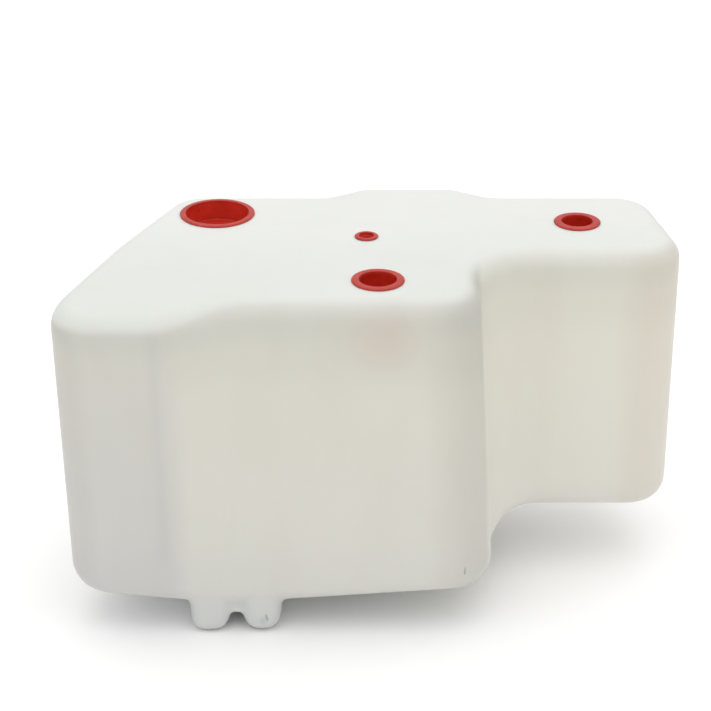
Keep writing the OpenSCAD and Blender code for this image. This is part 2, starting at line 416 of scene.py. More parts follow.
@dataclass
class TankBody:
    """The moulded body of the tank, with its sump and the bosses that hold the inserts.

    Attributes:
        wall: Wall thickness.
        top_edge: Rounding of the edge all round the top.
        edge: Rounding of the edge all round the floor.
        corner: Radius of the upright outside corners.
        fillet: Radius of the upright inside corners.
        bulge: How far the left front stands out at the top, and at the floor.
        bulge_length: Length of the bulge from the left wall.
        bulge_run: Length over which the bulge runs back to the front wall.
        bulge_radius: Radius of the upright edge where the bulge ends.
        step: Distance from the right wall to the step, and the step's depth.
        drafts: How much the step's wall, and the front walls, lean in towards the top.
        left_lean: How much the left wall leans in towards the rear.
        left_bow: Share of that lean reached half-way.
        lean_radii: Radius where the left wall starts to lean, and of its bend half-way.
        squares: Length of the left and of the right wall that stays square to the front.
        right_lean: How much the right wall leans in towards the rear.
        crest: How far the rear wall bulges out, the bulge's distance from the right wall,
            its length, the length over which each side runs out, and its edges' radius.
        sump_height: How far the sump hangs below the floor's lowest line.
        floor_rises: Rise of the floor from its lowest line to the left wall, and to the step.
        right_lift: Height of the right block's floor above the lowest line.
        hollow: Radius of the hollow under the right block's floor.
        grain: Size of the mesh's faces.
        softening: How many times the moulded edges are relaxed.
    """

    wall: float = 0.0055
    top_edge: float = 0.023
    edge: float = 0.025
    corner: float = 0.044
    fillet: float = 0.062
    bulge: tuple[float, float] = (0.036, 0.003)
    bulge_length: float = 0.108
    bulge_run: float = 0.066
    bulge_radius: float = 0.030
    step: tuple[float, float] = (0.199, 0.128)
    drafts: tuple[float, float] = (0.018, 0.005)
    left_lean: float = 0.105
    left_bow: float = 0.44
    lean_radii: tuple[float, float] = (0.095, 0.800)
    squares: tuple[float, float] = (0.060, 0.048)
    right_lean: float = 0.022
    crest: tuple[float, float, float, float, float] = (0.026, 0.285, 0.107, 0.038, 0.034)
    sump_height: float = 0.030
    floor_rises: tuple[float, float] = (0.017, 0.020)
    right_lift: float = 0.047
    hollow: float = 0.043
    grain: float = 0.004
    softening: int = 3
    sump: Sump = field(default_factory=Sump)

    def __post_init__(self) -> None:
        """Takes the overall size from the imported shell."""
        self.low, self.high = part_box("tank_shell")
        self.floor = self.low[2] + self.sump_height
        self.top = self.high[2]
        self.left, self.right = self.low[0], self.high[0]
        self.front = self.low[1] + self.bulge[0]
        self.rear = self.high[1] - self.crest[0]
        self.step_x = self.right - self.step[0]
        self.valley = self.left + self.bulge_length + self.bulge_run

    def outline(self, bulge: float, share: float) -> Outline:
        """Draws the tank's outline from above.

        Args:
            bulge: How far the left front stands out at this height.
            share: Share of the drafts reached at this height.

        Returns:
            The outline, anticlockwise from the front left corner.
        """
        left, right, front, rear = self.left, self.right, self.front, self.rear
        wall_x = self.step_x - share * self.drafts[0]
        wall_y = front + share * self.drafts[1]
        inner_front = wall_y + self.step[1]
        depth, from_right, length, run, edge = self.crest
        crest_left = right - from_right - length / 2
        crest_right = right - from_right + length / 2
        half_way = (self.low[1] + self.squares[0] + rear) / 2
        corners = [
            Corner(left, front - bulge, self.corner),
            Corner(left + self.bulge_length, front - bulge, self.bulge_radius),
            Corner(self.valley, wall_y, self.fillet),
            Corner(wall_x, wall_y, self.corner),
            Corner(wall_x, inner_front, self.fillet),
            Corner(right, inner_front, self.corner),
            Corner(right, front + self.step[1] + self.squares[1], self.corner),
            Corner(right - self.right_lean, rear, self.corner),
            Corner(crest_right + run, rear, edge),
            Corner(crest_right, rear + depth, edge),
            Corner(crest_left, rear + depth, edge),
            Corner(crest_left - run, rear, edge),
            Corner(left + self.left_lean, rear, self.corner),
            Corner(left + self.left_bow * self.left_lean, half_way, self.lean_radii[1]),
            Corner(left, front - bulge + self.squares[0], self.lean_radii[0]),
        ]
        return Outline(corners, steps=12)

    def floor_height(self, x: float) -> float:
        """Finds the height of the underside.

        Args:
            x: Place along the tank's length.

        Returns:
            The height there.
        """
        left_rise, step_rise = self.floor_rises
        if x < self.valley:
            return self.floor + left_rise * (self.valley - x) / (self.valley - self.left)
        if x < self.step_x:
            return self.floor + step_rise * (x - self.valley) / (self.step_x - self.valley)
        right_floor = self.floor + self.right_lift
        run = self.step_x + self.hollow - x
        if run <= 0:
            return right_floor
        arched = right_floor - self.hollow + math.sqrt(max(self.hollow**2 - run**2, 0))
        return max(self.floor + step_rise, arched)

    def solid(self, name: str, inset: float) -> bpy.types.Object:
        """Extrudes the outline from the rounded top edge down to the rounded floor edge.

        Args:
            name: Name of the new object.
            inset: How far every face is drawn in, 0 for the outside.

        Returns:
            The closed solid, without its sump.
        """
        high, low = self.outline(self.bulge[0], 1), self.outline(self.bulge[1], 0)
        top_radius, radius = self.top_edge - inset, self.edge - inset
        edge_steps, wall_steps = 8, 12
        turns = [QUARTER_TURN * k / edge_steps for k in range(edge_steps + 1)]
        upper = [
            high.ring(
                inset + top_radius * (1 - math.sin(a)),
                lambda x, drop=inset + top_radius * (1 - math.cos(a)): self.top - drop,
            )
            for a in turns
        ]
        lower = [
            low.ring(
                inset + radius * (1 - math.cos(a)),
                lambda x, lift=inset + radius * (1 - math.sin(a)): self.floor_height(x) + lift,
            )
            for a in turns
        ]
        walls = [
            [a.lerp(b, k / wall_steps) for a, b in zip(upper[-1], lower[0])]
            for k in range(1, wall_steps)
        ]
        rings = [*upper, *walls, *lower]
        body = start_loop(name, rings[0])
        mesh = edit(body)
        place = mesh.verts.layers.int.new("place")
        for index, vertex in enumerate(mesh.verts):
            vertex[place] = index
        bpy.ops.mesh.select_all(action="SELECT")
        bpy.ops.mesh.edge_face_add()
        for ring in rings[1:]:
            bpy.ops.mesh.extrude_region_move()
            mesh = bmesh.from_edit_mesh(body.data)
            place = mesh.verts.layers.int["place"]
            for vertex in mesh.verts:
                if vertex.select:
                    vertex.co = ring[vertex[place]]
        self.crease_floor(body)
        face_outwards(body)
        return body

    def crease_floor(self, body: bpy.types.Object) -> None:
        """Cuts the floor across wherever its slope changes.

        Args:
            body: The solid, in edit mode with its floor face selected.
        """
        mesh = bmesh.from_edit_mesh(body.data)
        part = mesh.faces.layers.int.new("floor")
        for face in mesh.faces:
            face[part] = int(face.select)
        arch_steps = 10
        turns = [QUARTER_TURN * k / arch_steps for k in range(arch_steps + 1)]
        arch = [self.step_x + self.hollow * (1 - math.cos(turn)) for turn in turns]
        for x in [self.valley, *arch]:
            mesh = bmesh.from_edit_mesh(body.data)
            part = mesh.faces.layers.int["floor"]
            bpy.ops.mesh.select_all(action="DESELECT")
            for face in mesh.faces:
                if face[part]:
                    face.select_set(True)
            bmesh.update_edit_mesh(body.data)
            bpy.ops.mesh.bisect(plane_co=(x, 0, 0), plane_no=(1, 0, 0))

    def build(self, ports: Sequence["Port"]) -> bpy.types.Object:
        """Models the hollow body with its bosses and the room for the inserts.

        Args:
            ports: The ports in the top.

        Returns:
            The finished mesh.
        """
        body = self.solid("tank_body", 0)
        sump_top = self.floor + self.edge
        for part in self.sump.solids(self.left, self.front, self.low[2], sump_top, 0):
            combine(body, part, "UNION")
        finish_with(body, "REMESH", mode="VOXEL", voxel_size=self.grain)
        finish_with(body, "SMOOTH", factor=0.5, iterations=self.softening)
        cavity = self.solid("cavity", self.wall)
        for part in self.sump.solids(self.left, self.front, self.low[2], sump_top, self.wall):
            combine(cavity, part, "UNION")
        for port in ports:
            combine(cavity, port.boss(), "DIFFERENCE")
        combine(body, cavity, "DIFFERENCE")
        for port in ports:
            combine(body, port.room(), "DIFFERENCE")
        shade(body, sharp_from=38)
        return body


# ---------------------------------------------------------------------------------------
# Ports: threaded inserts and their plugs
# ---------------------------------------------------------------------------------------


@dataclass
class Port:
    """A threaded insert in the top of the tank and the push-in plug that closes it.

    Attributes:
        kind: Which of the ports this is.
        bore: Bore at the crests of the thread.
        pitch: Pitch of the pipe thread.
        mouth: Width of the plug's open cup at its lip.
        lip: How far the plug's flange reaches past the insert.
        steps: Number of steps in a full turn.
        tube: Wall of the insert.
        anchor: How far the insert's anchor rings stand out, and their height.
        boss_wall: Wall of the moulded boss.
        gap: Running gap between the plug and the insert.
        flange: Thickness of the plug's flange.
        cup_wall: Wall of the plug's cup.
        taper: How much the cup narrows on the radius towards its floor.
    """

    kind: PortKind
    bore: float
    pitch: float
    mouth: float
    lip: float
    steps: int
    tube: float = 0.003
    anchor: tuple[float, float] = (0.003, 0.004)
    boss_wall: float = 0.005
    gap: float = 0.0003
    flange: float = 0.0018
    cup_wall: float = 0.0018
    taper: float = 0.0012

    def __post_init__(self) -> None:
        """Takes the port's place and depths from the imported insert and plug."""
        low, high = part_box(f"{self.kind.value}_insert")
        self.depth = high[2] - low[2]
        self.centre = Vector(((low[0] + high[0]) / 2, (low[1] + high[1]) / 2, high[2]))
        plug_low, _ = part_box(f"{self.kind.value}_plug")
        self.cup = high[2] + self.gap - plug_low[2]
        self.bore_radius = self.bore / 2
        self.tube_radius = self.bore_radius + self.tube
        self.thread_depth = 0.64 * self.pitch

    def outside(self, wall: float) -> list[tuple[float, float]]:
        """Outside of the insert from its foot up to the top, with its two anchor rings.

        Args:
            wall: Thickness of the tank's top, which the upper ring lies below.

        Returns:
            Points as distance from the axis and height below the top.
        """
        stand_out, height = self.anchor
        clear = 0.001
        line = [(self.tube_radius, -self.depth)]
        for foot in (-self.depth + height, -wall - height - clear):
            line += [
                (self.tube_radius, foot),
                (self.tube_radius + stand_out, foot),
                (self.tube_radius + stand_out, foot + height),
                (self.tube_radius, foot + height),
            ]
        return [*line, (self.tube_radius, 0)]

    def boss(self) -> bpy.types.Object:
        """Models the moulded boss that hangs from the top round the insert.

        Returns:
            The boss as a solid.
        """
        radius = self.tube_radius + self.boss_wall
        foot_edge = 0.002
        corners = [(0, -self.depth, 0), (radius, -self.depth, foot_edge), (radius, 0, 0), (0, 0, 0)]
        return lathe("boss", round_profile(corners, steps=4), self.centre, self.steps)

    def room(self) -> bpy.types.Object:
        """Models the room that the insert takes up in the tank's top.

        Returns:
            The room as a solid, which reaches a little past the insert's two ends.
        """
        over = 0.002
        line = self.outside(TankBody.wall)
        profile = [
            (0, -self.depth - over),
            (self.tube_radius, -self.depth - over),
            *line[1:-1],
            (self.tube_radius, over),
            (0, over),
        ]
        return lathe("room", profile, self.centre, self.steps)

    def thread(self, root_radius: float, lead: float) -> bpy.types.Object:
        """Models the ridge of the right-handed pipe thread.

        Args:
            root_radius: Radius at the roots of the thread.
            lead: Length of plain bore above and below the thread.

        Returns:
            The closed ridge, which reaches a little into the insert's wall.
        """
        buried = 0.0004
        flank, shoulder, crest = 0.46 * self.pitch, 0.17 * self.pitch, 0.07 * self.pitch
        slope = self.thread_depth * 0.12
        half = [
            (root_radius + buried, flank),
            (root_radius, flank),
            (self.bore_radius + slope, shoulder),
            (self.bore_radius, crest),
        ]
        section = [*[(r, -z) for r, z in half], *reversed(half)]
        turns = math.floor((self.depth - 2 * lead) / self.pitch) - 1
        foot = self.centre - UP * (self.depth - lead - self.pitch / 2)
        ridge = start_loop("thread", [foot + Vector((r, 0, z)) for r, z in section])
        offset = self.centre.copy()
        for vertex in ridge.data.vertices:
            vertex.co -= offset
        finish_with(
            ridge, "SCREW", axis="Z", angle=FULL_TURN, screw_offset=self.pitch, iterations=turns,
            steps=self.steps, render_steps=self.steps, use_merge_vertices=False,
        )
        for vertex in ridge.data.vertices:
            vertex.co += offset
        edit(ridge)
        bpy.ops.mesh.select_all(action="SELECT")
        bpy.ops.mesh.fill_holes(sides=0)
        face_outwards(ridge)
        return ridge

    def build_insert(self) -> bpy.types.Object:
        """Models the insert: a tube with anchor rings outside and a pipe thread inside.

        Returns:
            The finished mesh.
        """
        root_radius = self.bore_radius + self.thread_depth
        lead = 0.0007
        profile = [
            (root_radius + lead, 0),
            (root_radius, -lead),
            (root_radius, -self.depth + lead),
            (root_radius + lead, -self.depth),
            *self.outside(TankBody.wall),
        ]
        insert = lathe(f"{self.kind.value}_port_insert", profile, self.centre, self.steps)
        combine(insert, self.thread(root_radius, 2 * lead), "UNION")
        shade(insert, sharp_from=30)
        return insert

    def build_plug(self) -> bpy.types.Object:
        """Models the plug: a tapered cup with sealing ribs under a flange with a rolled lip.

        Returns:
            The finished mesh.
        """
        neck = self.bore_radius - self.gap
        foot = neck - self.taper
        mouth = self.mouth / 2
        undercut, lip_depth = 0.0006, 0.0030
        inside = min(neck - self.cup_wall, mouth + undercut)
        inside_foot = inside - self.taper
        rim = self.tube_radius + self.lip
        top, ledge = self.flange, self.flange - lip_depth
        rib, half_rib, ribs = 0.00018, 0.0007, (-0.0045, -0.0085)
        outside_wall = []
        for height in ribs:
            lean = self.taper * -height / self.cup
            outside_wall += [
                (neck - lean, height + half_rib, 0),
                (neck - lean + rib, height, 0),
                (neck - lean, height - half_rib, 0),
            ]
        corners = [
            (0, -self.cup + self.cup_wall, 0),
            (inside_foot, -self.cup + self.cup_wall, 0.0015),
            (inside, ledge - 0.0008, 0),
            (mouth, ledge, 0.0003),
            (mouth, top, 0.0007),
            (rim - 0.0018, top - 0.0002, 0.0010),
            (rim, top - 0.0008, 0.0009),
            (rim, 0, 0.0004),
            (neck, 0, 0.0002),
            *outside_wall,
            (foot, -self.cup, 0.0015),
            (0, -self.cup, 0),
        ]
        seat = self.centre + UP * self.gap
        plug = lathe(
            f"{self.kind.value}_port_plug", round_profile(corners, steps=4), seat, self.steps
        )
        shade(plug, sharp_from=50)
        return plug


# ---------------------------------------------------------------------------------------
# Finishes
# ---------------------------------------------------------------------------------------

# Sockets of a Mix node that work on colours
MIX_FACTOR, MIX_FIRST, MIX_SECOND, MIX_RESULT = 0, 6, 7, 2


@dataclass(frozen=True)
class Mottle:
    """A cloudy, streaky or speckled tint of a surface.

    Attributes:
        tint: Colour of the tint.
        scale: How many clouds there are to the metre.
        detail: How many finer layers the clouds have.
        cut: Strength of the pattern at which the tint comes in, and at which it is full.
        share: The tint's share where it is full.
        seed: Moves the pattern, so that two of them differ.
        stretch: How much denser the pattern is along each axis.
        blend: How the tint is blended.
    """

    tint: tuple[float, float, float]
    scale: float
    detail: float
    cut: tuple[float, float]
    share: float
    seed: float = 0
    stretch: tuple[float, float, float] = (1, 1, 1)
    blend: str = "MULTIPLY"


class Nodes:
    """A material's node tree, built up one linked node at a time."""

    def __init__(self, name: str) -> None:
        """Makes a material that holds only its output and its main shader.

        Args:
            name: Name of the material.
        """
        self.material = bpy.data.materials.new(name)
        self.material.use_nodes = True
        self.tree = self.material.node_tree
        self.shader = next(n for n in self.tree.nodes if n.type == "BSDF_PRINCIPLED")
        self.place = self.add("ShaderNodeTexCoord").outputs["Object"]

    def feed(self, socket: bpy.types.NodeSocket, value: object) -> None:
        """Links an input to another node's output, or sets it to a value.

        Args:
            socket: The input.
            value: What it gets.
        """
        if isinstance(value, bpy.types.NodeSocket):
            self.tree.links.new(value, socket)
        else:
            socket.default_value = value

    def add(self, kind: str, inputs: dict | None = None, **settings: object) -> bpy.types.Node:
        """Adds a node.

        Args:
            kind: The node's type.
            inputs: What its inputs get, by name or number.
            **settings: Values for the node's own properties.

        Returns:
            The new node.
        """
        node = self.tree.nodes.new(kind)
        for name, value in settings.items():
            setattr(node, name, value)
        for key, value in (inputs or {}).items():
            self.feed(node.inputs[key], value)
        return node

    def set(self, values: dict) -> None:
        """Sets or links inputs of the main shader.

        Args:
            values: What each input gets, by name.
        """
        for key, value in values.items():
            self.feed(self.shader.inputs[key], value)

    def noise(
        self, scale: float, detail: float, seed: float = 0, stretch: tuple = (1, 1, 1)
    ) -> bpy.types.NodeSocket:
        """Cloudy pattern in the piece's own space.

        Args:
            scale: How many clouds there are to the metre.
            detail: How many finer layers the clouds have.
            seed: Moves the pattern, so that two of them differ.
            stretch: How much denser the pattern is along each axis.

        Returns:
            A value from 0 to 1.
        """
        mapped = self.add(
            "ShaderNodeMapping",
            {"Vector": self.place, "Location": (seed, seed, seed), "Scale": stretch},
        )
        clouds = self.add(
            "ShaderNodeTexNoise", {"Vector": mapped.outputs[0], "Scale": scale, "Detail": detail}
        )
        return clouds.outputs["Fac"]

    def between(
        self, value: bpy.types.NodeSocket, stops: Sequence[tuple[float, tuple]]
    ) -> bpy.types.NodeSocket:
        """Turns a value into a colour.

        Args:
            value: The value, from 0 to 1.
            stops: Places from 0 to 1, each with its red, green and blue.

        Returns:
            The colour.
        """
        ramp = self.add("ShaderNodeValToRGB", {"Fac": value})
        ramp.color_ramp.interpolation = "EASE"
        elements = ramp.color_ramp.elements
        for _ in range(len(stops) - 2):
            elements.new(0.5)
        for element, (place, _) in zip(elements, stops):
            element.position = place
        for element, (_, colour) in zip(elements, stops):
            element.color = (*colour, 1)
        return ramp.outputs["Color"]

    def mix(
        self, factor: object, first: object, second: object, blend: str = "MIX"
    ) -> bpy.types.NodeSocket:
        """Mixes two colours.

        Args:
            factor: Share of the second colour.
            first: The first colour.
            second: The second colour.
            blend: How they are blended.

        Returns:
            The mixed colour.
        """
        node = self.add("ShaderNodeMix", data_type="RGBA", blend_type=blend)
        self.feed(node.inputs[MIX_FACTOR], factor)
        for key, colour in ((MIX_FIRST, first), (MIX_SECOND, second)):
            linked = isinstance(colour, bpy.types.NodeSocket)
            self.feed(node.inputs[key], colour if linked else (*colour, 1))
        return node.outputs[MIX_RESULT]

    def mottled(self, colour: object, mottles: Sequence[Mottle]) -> bpy.types.NodeSocket:
        """Lays cloudy tints over a colour.

        Args:
            colour: The colour.
            mottles: The tints, in order.

        Returns:
            The tinted colour.
        """
        for m in mottles:
            pattern = self.noise(m.scale, m.detail, m.seed, m.stretch)
            colour = self.mix(self.spread(pattern, *m.cut, 0, m.share), colour, m.tint, m.blend)
        return colour

    def spread(
        self, value: object, low: float, high: float, to_low: float, to_high: float
    ) -> bpy.types.NodeSocket:
        """Moves a value smoothly from one range to another.

        Args:
            value: The value.
            low: Where the range starts.
            high: Where it ends.
            to_low: The result at its start and before.
            to_high: The result at its end and past it.

        Returns:
            The moved value.
        """
        ranges = {"From Min": low, "From Max": high, "To Min": to_low, "To Max": to_high}
        node = self.add(
            "ShaderNodeMapRange", {"Value": value, **ranges}, interpolation_type="SMOOTHSTEP"
        )
        return node.outputs["Result"]

    def cloudy(
        self, scale: float, detail: float, seed: float, least: float, most: float
    ) -> bpy.types.NodeSocket:
        """Cloudy value, such as a roughness.

        Args:
            scale: How many clouds there are to the metre.
            detail: How many finer layers the clouds have.
            seed: Moves the pattern.
            least: Lowest value.
            most: Highest value.

        Returns:
            The value.
        """
        return self.spread(self.noise(scale, detail, seed), 0.3, 0.7, least, most)

    def patch(
        self, centre: Vector, size: tuple, soft: float, turn: float = 0
    ) -> bpy.types.NodeSocket:
        """Soft oval spot at a place on the piece.

        Args:
            centre: Middle of the spot.
            size: Half its size along each axis.
            soft: Share of its size over which it fades out.
            turn: Turn about the depth axis, in degrees.

        Returns:
            1 in the spot and 0 outside it.
        """
        shape = {"Location": centre, "Rotation": (0, math.radians(turn), 0), "Scale": size}
        mapped = self.add(
            "ShaderNodeMapping", {"Vector": self.place, **shape}, vector_type="TEXTURE"
        )
        reach = self.add("ShaderNodeVectorMath", {0: mapped.outputs[0]}, operation="LENGTH")
        return self.spread(reach.outputs["Value"], 1 - soft, 1, 1, 0)

    def product(self, first: object, second: object) -> bpy.types.NodeSocket:
        """Multiplies two values."""
        return self.add("ShaderNodeMath", {0: first, 1: second}, operation="MULTIPLY").outputs[0]

    def total(self, first: object, second: object) -> bpy.types.NodeSocket:
        """Adds two values."""
        return self.add("ShaderNodeMath", {0: first, 1: second}, operation="ADD").outputs[0]

    def bump(self, layers: Sequence[tuple[bpy.types.NodeSocket, float, float]]) -> None:
        """Gives the surface relief.

        Args:
            layers: Patterns, each with its strength and its depth in metres.
        """
        normal = None
        for height, strength, depth in layers:
            inputs = {"Height": height, "Strength": strength, "Distance": depth}
            if normal is not None:
                inputs["Normal"] = normal
            normal = self.add("ShaderNodeBump", inputs).outputs["Normal"]
        self.set({"Normal": normal})


@dataclass(frozen=True)
class Scuff:
    """A small dark rub mark.

    Attributes:
        place: Middle of the mark.
        size: Half its size along each axis.
        turn: Turn about the depth axis, in degrees.
        strength: How dark it is, from 0 to 1.
    """

    place: tuple[float, float, float]
    size: tuple[float, float, float]
    turn: float
    strength: float


@dataclass(frozen=True)
class PaintedShade:
    """A tint that fades in or out along the tank's length.

    Attributes:
        colour: What the walls' colour is multiplied by, to paint the shade.
        fade: Start and end of the fade, from the wall or step that the painted shade belongs to.
    """

    colour: tuple[float, float, float]
    fade: tuple[float, float]

    def along(
        self, nodes: Nodes, place: bpy.types.NodeSocket, start: float, to_low: float, to_high: float
    ) -> bpy.types.NodeSocket:
        """Strength of the painted shade along the tank.

        Args:
            nodes: The material's nodes.
            place: Place along the tank's length.
            start: Place of the wall or step that the painted shade belongs to.
            to_low: Strength where the fade starts.
            to_high: Strength where it ends.

        Returns:
            The strength.
        """
        return nodes.spread(place, start + self.fade[0], start + self.fade[1], to_low, to_high)


@dataclass(frozen=True)
class NaturalPolyethylene:
    """Undyed, slightly translucent polyethylene with the soft skin of a rotational moulding, with
    painted shade on its walls and a painted show-through of the suction plug.

    Attributes:
        tones_and_painted_shade: Colour of the walls by height, as a share of the tank's height,
            with painted shade in a darker band just under the top edge, and darker towards the
            bottom.
        deep: Painted shade on the deep block's walls, which ends at the step and makes them a
            little darker than the right block.
        edge: Painted shade on the deep block's upright right edge, which comes in towards the step.
        right: Painted shade, darker and warmer, on the right block's right end.
        end: Painted shade on the bulge at the tank's left end.
        end_heights: Heights between which the bulge's painted shade weakens upwards.
        end_least: Share of the bulge's painted shade that stays at the top.
        crease: Painted shade on the upright line where the bulge ends, up to the line's middle.
        crease_far: Fade of that painted shade past the line's middle.
        crease_heights: Heights between which the line comes in upwards.
        left: Painted shade on the bulge's left edge.
        top: Colour of the top at its front and at its rear.
        top_heights: Heights between which the walls' colour, with its painted shade band, gives way
            to the top's, on the top edge's rounding.
        bulge_reach: Where the bulge runs out, from the left wall.
        bulge_drop: How much lower the top's colour, and so the end of the painted shade band,
            starts on the bulge.
        mottles: Clouds, streaks and specks.
        glow: Colour of the suction plug's painted show-through, a painted reddish light below it on
            the front wall.
        glow_share: Share of that painted colour in the middle of the patch.
        glow_offset: Place of the patch from the suction port, to the right and upwards.
        glow_size: Half the patch's size along each axis.
        scuffs: The rub marks.
        scuff_colour: Colour of the rub marks.
        roughness: Lowest and highest roughness.
    """

    # Painted shade: the stops from 0.86 to 0.98 make a darker band just under the top edge; the
    # lowest stops are darker towards the bottom.
    tones_and_painted_shade: tuple = (
        (0.00, (0.635, 0.645, 0.628)),
        (0.08, (0.645, 0.650, 0.622)),
        (0.16, (0.678, 0.663, 0.613)),
        (0.36, (0.698, 0.681, 0.612)),
        (0.72, (0.704, 0.686, 0.606)),
        (0.86, (0.672, 0.656, 0.578)),
        (0.94, (0.640, 0.628, 0.560)),
        (0.98, (0.655, 0.650, 0.598)),
    )
    # Painted shade: the deep block's walls are darker than the right block's.
    deep: PaintedShade = PaintedShade((0.935, 0.940, 0.950), (-0.004, 0.004))
    # Painted shade on the edge that faces the weaker light from the right.
    edge: PaintedShade = PaintedShade((0.850, 0.845, 0.840), (-0.070, -0.006))
    # Painted shade on the right block's right end.
    right: PaintedShade = PaintedShade((0.945, 0.918, 0.900), (-0.075, -0.030))
    # Painted shade on the bulge, where less light comes from the left.
    end: PaintedShade = PaintedShade((0.905, 0.905, 0.945), (0.106, 0.134))
    end_heights: tuple[float, float] = (0.70, 0.88)
    end_least: float = 0.3
    # Painted shade on the convex edge where the bulge ends.
    crease: PaintedShade = PaintedShade((0.955, 0.955, 0.965), (0.090, 0.103))
    crease_far: tuple[float, float] = (0.103, 0.114)
    crease_heights: tuple[float, float] = (0.20, 0.30)
    # Painted shade on the bulge's left edge.
    left: PaintedShade = PaintedShade((0.930, 0.925, 0.915), (0.012, 0.042))
    top: tuple[tuple, tuple] = ((0.655, 0.665, 0.630), (0.695, 0.702, 0.672))
    top_heights: tuple[float, float] = (0.975, 0.999)
    bulge_reach: tuple[float, float] = (0.110, 0.190)
    bulge_drop: float = 0.024
    mottles: tuple[Mottle, ...] = (
        Mottle((0.965, 0.970, 0.955), 7, 3, cut=(0.35, 0.65), share=0.35),
        Mottle(
            (0.95, 0.94, 0.91), 22, 2, cut=(0.45, 0.70), share=0.22, seed=3, stretch=(1, 1, 0.22)
        ),
        Mottle((0.80, 0.78, 0.74), 420, 1, cut=(0.72, 0.80), share=0.22, seed=5),
    )
    # Painted light: the red plug seen through the translucent wall is painted on the front wall as
    # a reddish patch.
    glow: tuple = (0.56, 0.395, 0.335)
    glow_share: float = 0.30
    glow_offset: tuple[float, float] = (0.006, -0.042)
    glow_size: tuple[float, float, float] = (0.060, 0.060, 0.052)
    scuffs: tuple[Scuff, ...] = (
        Scuff((0.0928, -0.146, 0.0780), (0.0016, 0.012, 0.0064), 3, 0.62),
        Scuff((-0.1152, -0.145, 0.0212), (0.0017, 0.012, 0.0058), -12, 0.66),
        Scuff((-0.1185, -0.145, 0.0180), (0.0062, 0.012, 0.0074), 20, 0.18),
    )
    scuff_colour: tuple = (0.16, 0.16, 0.16)
    roughness: tuple[float, float] = (0.40, 0.52)

    def walls(
        self,
        nodes: Nodes,
        body: TankBody,
        along: bpy.types.NodeSocket,
        height: bpy.types.NodeSocket,
    ) -> bpy.types.NodeSocket:
        """Colours the walls by height and paints shade onto their edges and ends.

        Args:
            nodes: The material's nodes.
            body: The tank's body.
            along: Place along the tank's length.
            height: Share of the tank's height.

        Returns:
            The colour.
        """
        upright = nodes.total(along, nodes.product(height, body.drafts[0]))
        deep = self.deep.along(nodes, upright, body.step_x, 1, 0)
        edge = nodes.product(self.edge.along(nodes, upright, body.step_x, 0, 1), deep)
        right = self.right.along(nodes, along, body.right, 0, 1)
        end = nodes.product(
            self.end.along(nodes, along, body.left, 1, 0),
            nodes.spread(height, *self.end_heights, 1, self.end_least),
        )
        far_start, far_end = (body.left + distance for distance in self.crease_far)
        crease = nodes.product(
            self.crease.along(nodes, along, body.left, 0, 1),
            nodes.spread(along, far_start, far_end, 1, 0),
        )
        crease = nodes.product(crease, nodes.spread(height, *self.crease_heights, 0, 1))
        left = self.left.along(nodes, along, body.left, 1, 0)
        colour = nodes.between(height, self.tones_and_painted_shade)
        # Every one of these darkens the walls as painted shade.
        for strength, tint in (
            (deep, self.deep),
            (edge, self.edge),
            (right, self.right),
            (end, self.end),
            (crease, self.crease),
            (left, self.left),
        ):
            colour = nodes.mix(strength, colour, tint.colour, "MULTIPLY")
        return colour

    def wear(self, nodes: Nodes, colour: bpy.types.NodeSocket) -> bpy.types.NodeSocket:
        """Adds the rub marks to a colour.

        Args:
            nodes: The material's nodes.
            colour: The colour.

        Returns:
            The marked colour.
        """
        crumbs = nodes.spread(nodes.noise(900, 2, seed=9), 0.38, 0.56, 0.25, 1)
        for scuff in self.scuffs:
            mark = nodes.patch(Vector(scuff.place), scuff.size, soft=0.55, turn=scuff.turn)
            mark = nodes.product(nodes.product(mark, crumbs), scuff.strength)
            colour = nodes.mix(mark, colour, self.scuff_colour)
        return colour

    def material(self, body: TankBody, ports: Sequence[Port]) -> bpy.types.Material:
        """Makes the material of the tank's body.

        Args:
            body: The tank's body, for its size.
            ports: The ports, one of whose plugs is painted as showing through the front wall.

        Returns:
            The material.
        """
        nodes = Nodes("natural_polyethylene")
        parts = nodes.add("ShaderNodeSeparateXYZ", {0: nodes.place})
        along = parts.outputs["X"]
        height = nodes.spread(parts.outputs["Z"], body.low[2], body.top, 0, 1)
        height.node.interpolation_type = "LINEAR"
        back = nodes.spread(parts.outputs["Y"], body.front, body.rear, 0, 1)
        top = nodes.between(back, ((0.0, self.top[0]), (1.0, self.top[1])))
        # The painted shade band runs up onto the top edge's rounding before the top's colour takes
        # over, and ends lower on the bulge.
        run_start, run_end = (body.left + distance for distance in self.bulge_reach)
        bulge = nodes.spread(along, run_start, run_end, 1, 0)
        upper = nodes.total(height, nodes.product(bulge, self.bulge_drop))
        at_top = nodes.spread(upper, *self.top_heights, 0, 1)
        colour = nodes.mix(at_top, self.walls(nodes, body, along, height), top)
        colour = nodes.mottled(colour, self.mottles)
